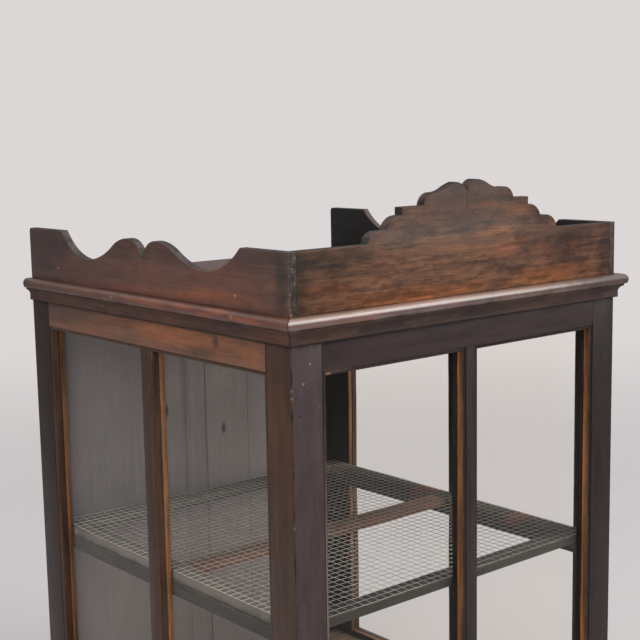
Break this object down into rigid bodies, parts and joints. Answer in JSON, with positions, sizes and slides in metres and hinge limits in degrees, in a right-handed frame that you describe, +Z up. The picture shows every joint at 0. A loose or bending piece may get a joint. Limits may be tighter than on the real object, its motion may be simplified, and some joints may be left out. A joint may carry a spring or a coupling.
{
  "type": "countertop display case",
  "caption": "Glazed wooden countertop display case with a scalloped gallery, moulded cornice, wire mesh shelf and hinged plank doors behind.",
  "frame": {"origin": "middle of the footprint on the surface that the case stands on", "axes": "+X to the right seen from the front, +Y to the back where the doors are, +Z up"},
  "size_m": [0.613, 0.6465, 0.9139],
  "materials": {
    "front_frame_wood": "old satin varnish",
    "side_frame_wood": "old satin varnish",
    "gallery_wood": "old satin varnish",
    "moulding_wood": "worn gloss varnish",
    "bead_wood": "worn varnish",
    "shelf_wood": "dull stain",
    "inner_wood": "bare",
    "back_wood": "dull stain",
    "painted_board": "matt grey paint",
    "knob_wood": "satin varnish",
    "mesh_wire": "dull galvanised",
    "hinge_metal": "tarnished",
    "glass": "clear, old and slightly wavy"
  },
  "bodies": {
    "case": {"back_head_rail": "back_wood", "back_jamb_left": "back_wood", "back_jamb_right": "back_wood", "back_sill": "back_wood", "base_moulding_front": "moulding_wood", "base_moulding_left": "moulding_wood", "base_moulding_right": "moulding_wood", "cornice_front": "moulding_wood", "cornice_left": "moulding_wood", "cornice_right": "moulding_wood", "door_stop": "back_wood", "floor_board": "inner_wood", "floor_cleats": "inner_wood", "frame_hinge_leaves": "hinge_metal", "front_beads": "bead_wood", "front_glass_left": "glass", "front_glass_right": "glass", "front_muntin": "front_frame_wood", "front_rail_bottom": "front_frame_wood", "front_rail_top": "front_frame_wood", "front_stile_left": "front_frame_wood", "front_stile_right": "front_frame_wood", "gallery_front": "gallery_wood", "gallery_left": "gallery_wood", "gallery_right": "gallery_wood", "hinge_pins": "hinge_metal", "left_beads": "bead_wood", "left_glass_back": "glass", "left_glass_front": "glass", "left_muntin": "side_frame_wood", "left_rail_bottom": "side_frame_wood", "left_rail_top": "side_frame_wood", "left_stile_back": "side_frame_wood", "left_stile_front": "side_frame_wood", "right_beads": "bead_wood", "right_glass_back": "glass", "right_glass_front": "glass", "right_muntin": "side_frame_wood", "right_rail_bottom": "side_frame_wood", "right_rail_top": "side_frame_wood", "right_stile_back": "side_frame_wood", "right_stile_front": "side_frame_wood", "shelf_cross_rail": "shelf_wood", "shelf_end_rails": "shelf_wood", "shelf_ledgers": "shelf_wood", "shelf_mesh": "mesh_wire", "shelf_side_rails": "shelf_wood", "top_board": "inner_wood", "turn_button_screw": "hinge_metal"},
    "back_door_left": {"door_battens_left": "back_wood", "door_hinge_leaves_left": "hinge_metal", "door_knob_left": "knob_wood", "door_left": "painted_board"},
    "back_door_right": {"door_battens_right": "back_wood", "door_hinge_leaves_right": "hinge_metal", "door_knob_right": "knob_wood", "door_right": "painted_board"},
    "button": {"turn_button": "back_wood"}
  },
  "joints": [
    {"name": "door_left_hinge", "type": "hinge", "parent": "case", "child": "back_door_left", "pos_m": [-0.2545, 0.30045, 0.3835], "axis": [0, 0, 1], "range_deg": [0, 160]},
    {"name": "door_right_hinge", "type": "hinge", "parent": "case", "child": "back_door_right", "pos_m": [0.2545, 0.30045, 0.3835], "axis": [0, 0, -1], "range_deg": [0, 160]},
    {"name": "turn_button_pivot", "type": "hinge", "parent": "case", "child": "button", "pos_m": [0, 0.30175, 0.728], "axis": [0, 1, 0], "range_deg": [0, 90]}
  ]
}
